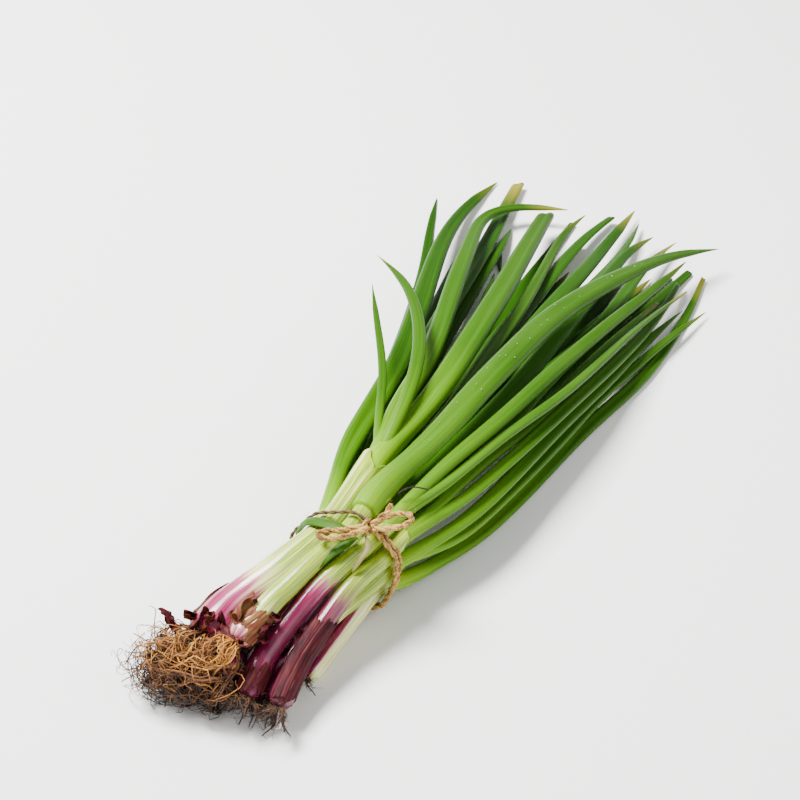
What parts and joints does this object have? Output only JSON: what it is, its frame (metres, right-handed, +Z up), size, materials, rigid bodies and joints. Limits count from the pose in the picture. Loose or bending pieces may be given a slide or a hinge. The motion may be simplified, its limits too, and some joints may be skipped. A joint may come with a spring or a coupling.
{
  "type": "spring onion bunch",
  "caption": "Bunch of spring onions lying on its side: white and purple shanks with curly roots, long green leaves spread wide, tied round the middle with jute twine in a bow.",
  "frame": {"origin": "middle of the outline seen from above, on the surface that the bunch lies on", "axes": "+X along the bunch towards the leaf tips, roots at -X; +Z up, away from the surface; +Y across the bunch, to the left when looking along +X"},
  "size_m": [0.4298, 0.1787, 0.0601],
  "materials": {
    "shank": "smooth, wet-looking white skin that turns pink and purple towards the roots",
    "leaf": "smooth green leaf with a thin pale bloom",
    "root": "dry, matt and fibrous with clinging soil",
    "dry_skin": "papery, dry and matt",
    "twine": "rough twisted jute"
  },
  "bodies": {
    "root": {"dry_skin_1": "dry_skin", "dry_skin_2": "dry_skin", "dry_skin_3": "dry_skin", "dry_skin_4": "dry_skin", "dry_skin_5": "dry_skin", "onion_01_leaves": "leaf", "onion_01_roots": "root", "onion_01_shank": "shank", "onion_02_leaves": "leaf", "onion_02_roots": "root", "onion_02_shank": "shank", "onion_03_leaves": "leaf", "onion_03_roots": "root", "onion_03_shank": "shank", "onion_04_leaves": "leaf", "onion_04_roots": "root", "onion_04_shank": "shank", "onion_05_leaves": "leaf", "onion_05_roots": "root", "onion_05_shank": "shank", "onion_06_leaves": "leaf", "onion_06_roots": "root", "onion_06_shank": "shank", "onion_07_leaves": "leaf", "onion_07_roots": "root", "onion_07_shank": "shank", "onion_08_leaves": "leaf", "onion_08_roots": "root", "onion_08_shank": "shank", "onion_09_leaves": "leaf", "onion_09_roots": "root", "onion_09_shank": "shank", "onion_10_leaves": "leaf", "onion_10_roots": "root", "onion_10_shank": "shank", "onion_11_leaves": "leaf", "onion_11_roots": "root", "onion_11_shank": "shank", "onion_12_leaves": "leaf", "onion_12_roots": "root", "onion_12_shank": "shank", "onion_13_leaves": "leaf", "onion_13_roots": "root", "onion_13_shank": "shank", "twine_tie": "twine"}
  },
  "joints": []
}
